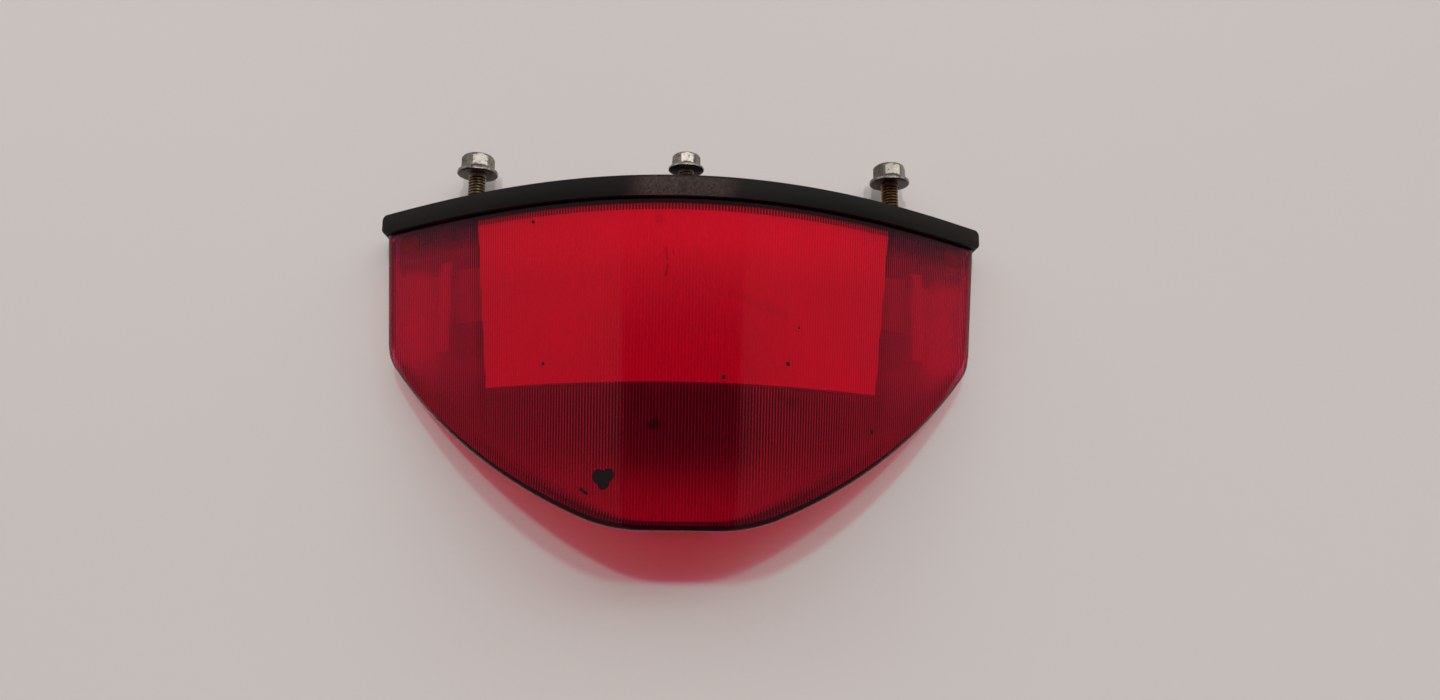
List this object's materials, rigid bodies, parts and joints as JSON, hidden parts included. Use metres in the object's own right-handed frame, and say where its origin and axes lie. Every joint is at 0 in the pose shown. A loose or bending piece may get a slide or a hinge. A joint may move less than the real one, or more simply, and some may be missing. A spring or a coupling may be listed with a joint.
{
  "type": "motorcycle tail light",
  "caption": "Half-moon motorcycle tail light: black housing with a flat front wall, curved red lens ribbed inside, reflex panel, bayonet bulbs and flange bolts for the bracket.",
  "frame": {"origin": "middle of the bounding box in X and Y, on the flat front face that it lies on", "axes": "+X across the lamp to the right of the picture, +Y along the mounting bolts (up when mounted), +Z out of the lens (to the rear when mounted)"},
  "size_m": [0.2, 0.1268, 0.0626],
  "materials": {
    "black_plastic": "grained, dusty",
    "red_lens": "clear red, ribbed inside",
    "red_reflex": "prismatic",
    "rubber": "matt",
    "bright_aluminium": "bright",
    "plated_steel": "plated",
    "zinc_steel": "zinc, worn, rust in the thread",
    "spring_steel": "drawn wire",
    "brass": "dull",
    "brown_board": "pressed fibre",
    "glass": "clear",
    "wire": "drawn wire"
  },
  "bodies": {
    "lamp": {"housing": "black_plastic", "lens": "red_lens", "reflex_reflector": "red_reflex", "lens_gasket": "rubber", "cable_grommet": "rubber", "reflector": "bright_aluminium", "reflector_screws": "plated_steel", "lens_screws": "plated_steel", "threaded_inserts": "brass", "bulb_carrier": "plated_steel", "carrier_nut": "zinc_steel", "socket_rivets": "brass", "socket_left": "plated_steel", "socket_right": "plated_steel", "socket_insulator_left": "brown_board", "socket_insulator_right": "brown_board", "terminal_blades": "brass", "contact_spring_left": "spring_steel", "contact_spring_right": "spring_steel"},
    "contact_left": {"contact_plunger_left": "brown_board"},
    "contact_right": {"contact_plunger_right": "brown_board"},
    "bulb_left": {"bulb_cap_left": "brass", "bulb_glass_left": "glass", "filament_left": "wire"},
    "bulb_right": {"bulb_cap_right": "brass", "bulb_glass_right": "glass", "filament_right": "wire"},
    "bolt_left": {"mount_bolt_left": "zinc_steel"},
    "bolt_right": {"mount_bolt_right": "zinc_steel"},
    "bolt_centre": {"centre_bolt": "zinc_steel"}
  },
  "joints": [
    {"name": "contact_left_push", "type": "slide", "parent": "lamp", "child": "contact_left", "axis": [0, 1, 0], "range_m": [0, 0.0022], "stiffness_N_per_m": 3000, "springref_m": -0.002, "deforming": ["contact_spring_left"]},
    {"name": "bulb_left_turn", "type": "hinge", "parent": "contact_left", "child": "bulb_left", "pos_m": [-0.04, 0.015, 0.027], "axis": [0, 1, 0], "range_deg": [-20, 0]},
    {"name": "contact_right_push", "type": "slide", "parent": "lamp", "child": "contact_right", "axis": [0, 1, 0], "range_m": [0, 0.0022], "stiffness_N_per_m": 3000, "springref_m": -0.002, "deforming": ["contact_spring_right"]},
    {"name": "bulb_right_turn", "type": "hinge", "parent": "contact_right", "child": "bulb_right", "pos_m": [0.04, 0.015, 0.027], "axis": [0, 1, 0], "range_deg": [-20, 0]},
    {"name": "bolt_left_slide", "type": "slide", "parent": "lamp", "child": "bolt_left", "axis": [0, 1, 0], "range_m": [-0.0131, 0.009]},
    {"name": "bolt_right_slide", "type": "slide", "parent": "lamp", "child": "bolt_right", "axis": [0, 1, 0], "range_m": [-0.0138, 0.009]},
    {"name": "bolt_centre_slide", "type": "slide", "parent": "lamp", "child": "bolt_centre", "axis": [0, 1, 0], "range_m": [-0.0059, 0.004]}
  ]
}
